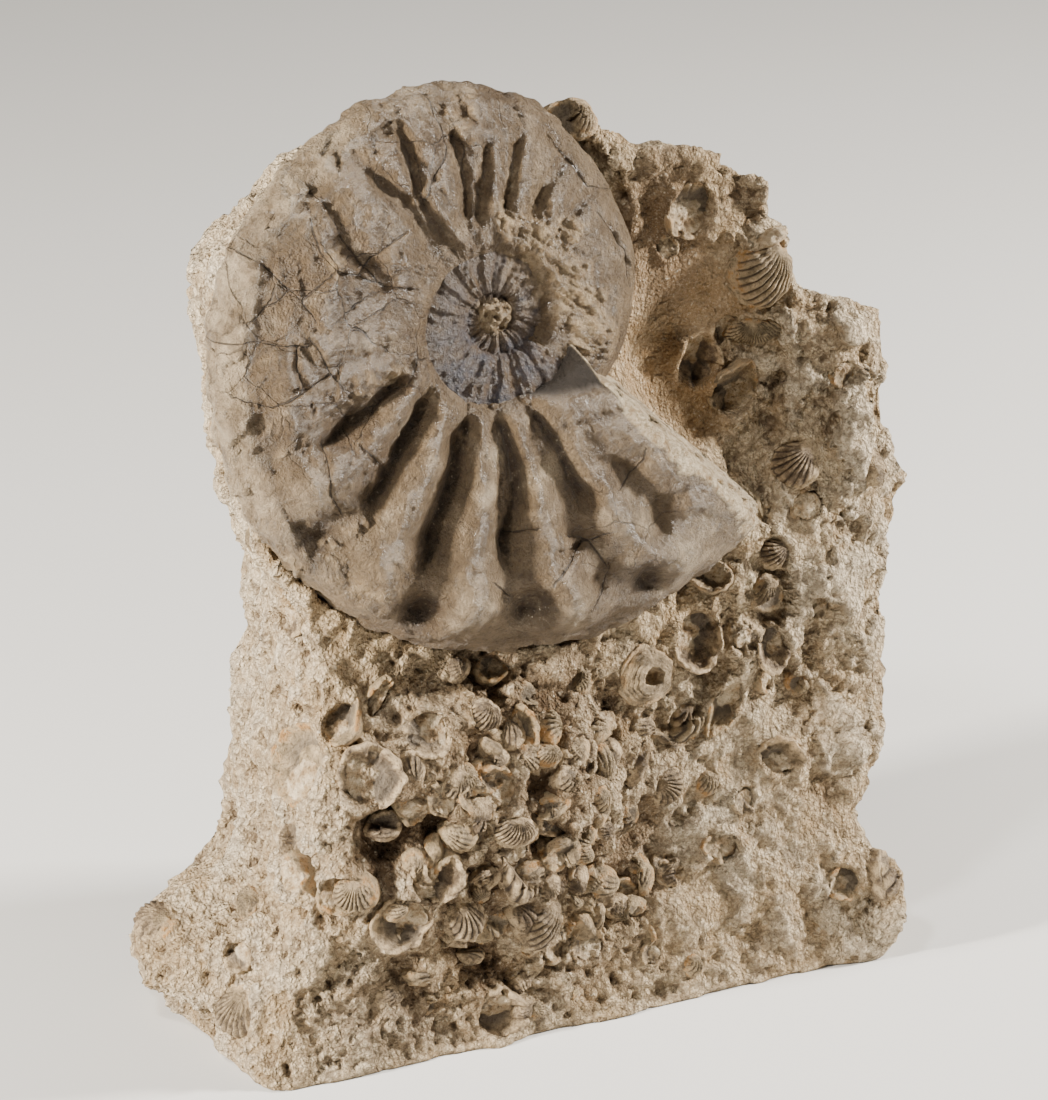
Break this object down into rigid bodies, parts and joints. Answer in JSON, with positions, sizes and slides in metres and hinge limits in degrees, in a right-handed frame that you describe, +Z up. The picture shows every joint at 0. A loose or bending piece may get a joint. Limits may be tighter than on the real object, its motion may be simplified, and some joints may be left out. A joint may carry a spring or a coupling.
{
  "type": "ammonite on brachiopod matrix",
  "caption": "Large ribbed ammonite lying on the upper front of an upright limestone slab studded with small brachiopod shells; stands on its flat cut base.",
  "frame": {"origin": "middle of the outline on the surface the block stands on", "axes": "+Z up, -Y out of the face that carries the ammonite, +X to the right when looking at that face"},
  "size_m": [0.2495, 0.1033, 0.2946],
  "materials": {
    "limestone": "rough grainy cream limestone",
    "ammonite_shell": "worn fossil shell, satin",
    "brachiopod_shell": "fossil shell, satin"
  },
  "bodies": {
    "root": {"matrix": "limestone", "ammonite": "ammonite_shell", "brachiopod_01": "brachiopod_shell", "brachiopod_02": "brachiopod_shell", "brachiopod_03": "brachiopod_shell", "brachiopod_04": "brachiopod_shell", "brachiopod_05": "brachiopod_shell", "brachiopod_06": "brachiopod_shell", "brachiopod_07": "brachiopod_shell", "brachiopod_08": "brachiopod_shell", "brachiopod_09": "brachiopod_shell", "brachiopod_10": "brachiopod_shell", "brachiopod_11": "brachiopod_shell", "brachiopod_12": "brachiopod_shell", "brachiopod_13": "brachiopod_shell", "brachiopod_14": "brachiopod_shell", "brachiopod_15": "brachiopod_shell", "brachiopod_16": "brachiopod_shell", "brachiopod_17": "brachiopod_shell", "brachiopod_18": "brachiopod_shell", "brachiopod_19": "brachiopod_shell", "brachiopod_20": "brachiopod_shell", "brachiopod_21": "brachiopod_shell", "brachiopod_22": "brachiopod_shell", "brachiopod_23": "brachiopod_shell", "brachiopod_24": "brachiopod_shell", "brachiopod_25": "brachiopod_shell", "brachiopod_26": "brachiopod_shell", "brachiopod_27": "brachiopod_shell", "brachiopod_28": "brachiopod_shell", "brachiopod_29": "brachiopod_shell", "brachiopod_30": "brachiopod_shell", "brachiopod_31": "brachiopod_shell", "brachiopod_32": "brachiopod_shell", "brachiopod_33": "brachiopod_shell"}
  },
  "joints": []
}
